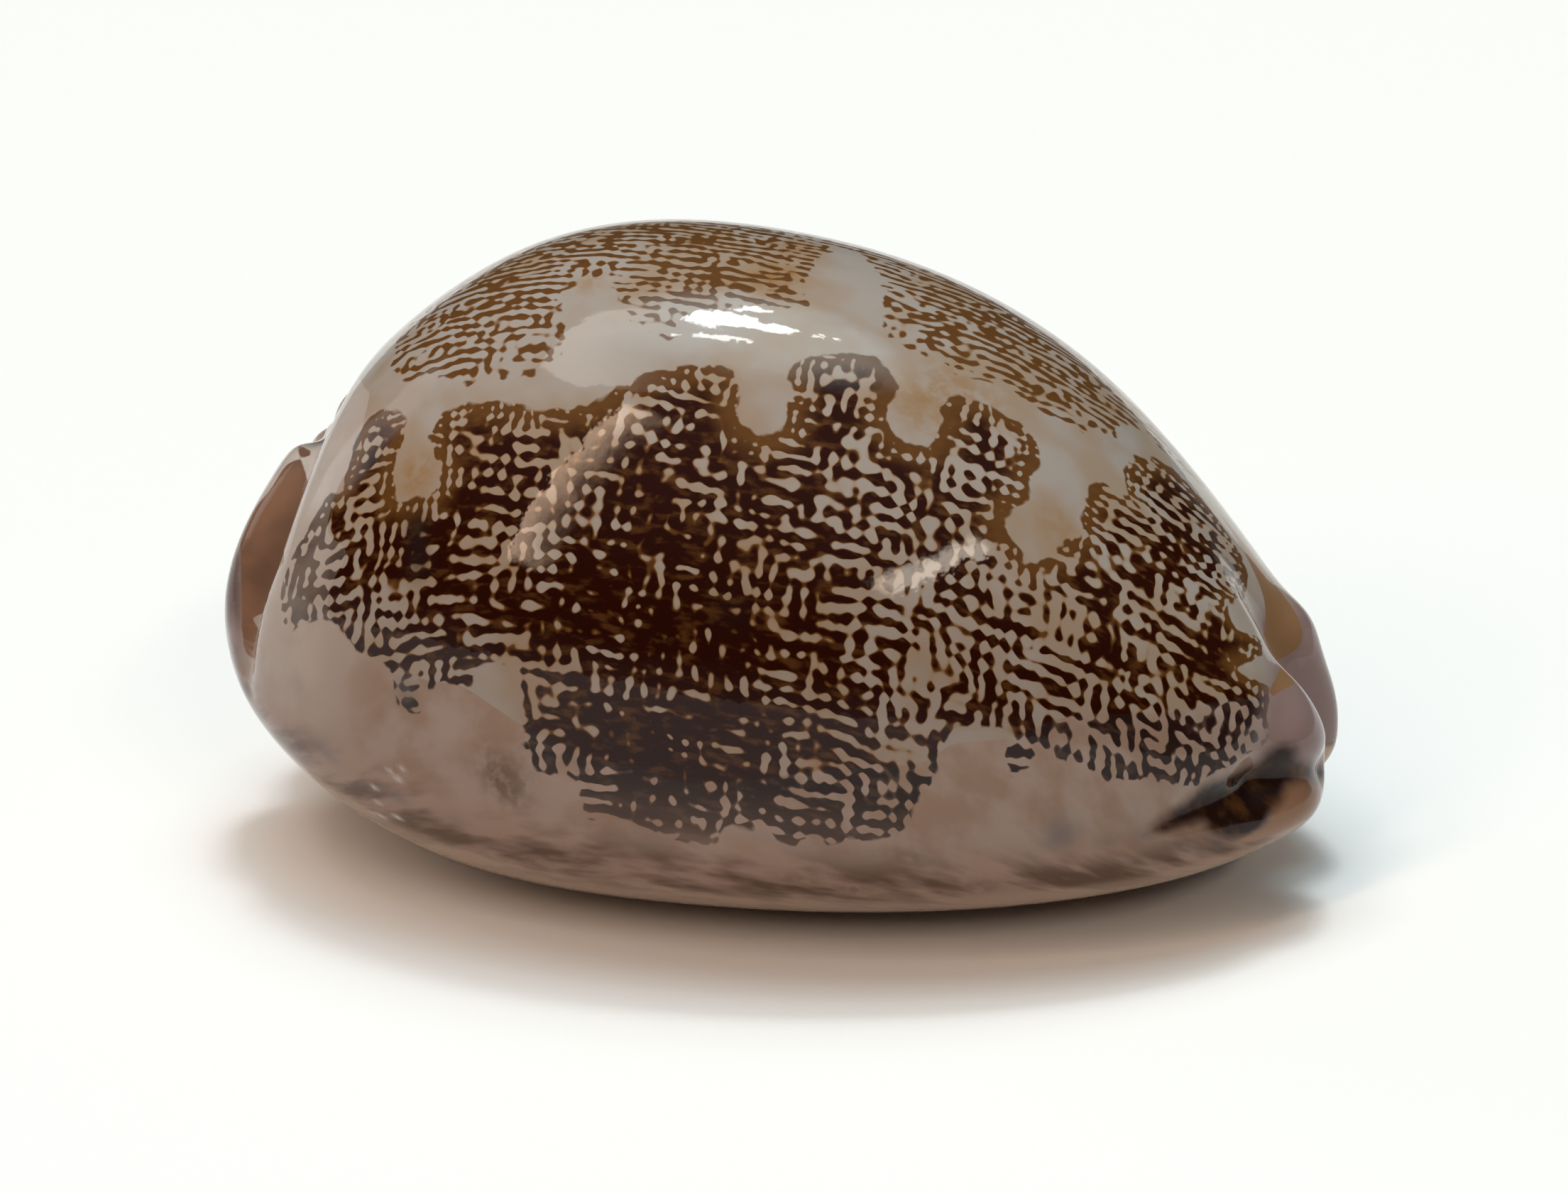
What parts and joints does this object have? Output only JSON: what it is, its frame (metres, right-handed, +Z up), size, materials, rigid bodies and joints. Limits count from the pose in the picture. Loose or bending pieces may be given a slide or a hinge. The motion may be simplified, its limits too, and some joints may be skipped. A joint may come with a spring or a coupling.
{
  "type": "map cowrie shell",
  "caption": "Glossy egg-shaped sea shell, hollow, with a map-like brown pattern, a narrow toothed slot underneath and small flats to rest on.",
  "frame": {"origin": "middle of the floor of the shell's box, as it rests on its base", "axes": "+X along the length towards the front (siphon) end, -Y the outer lip's side, +Z up through the back"},
  "size_m": [0.074, 0.0486, 0.0411],
  "materials": {
    "enamel": "glossy natural enamel, pinkish cream ground under a dark brown reticulated pattern"
  },
  "bodies": {
    "root": {"shell": "enamel"}
  },
  "joints": []
}
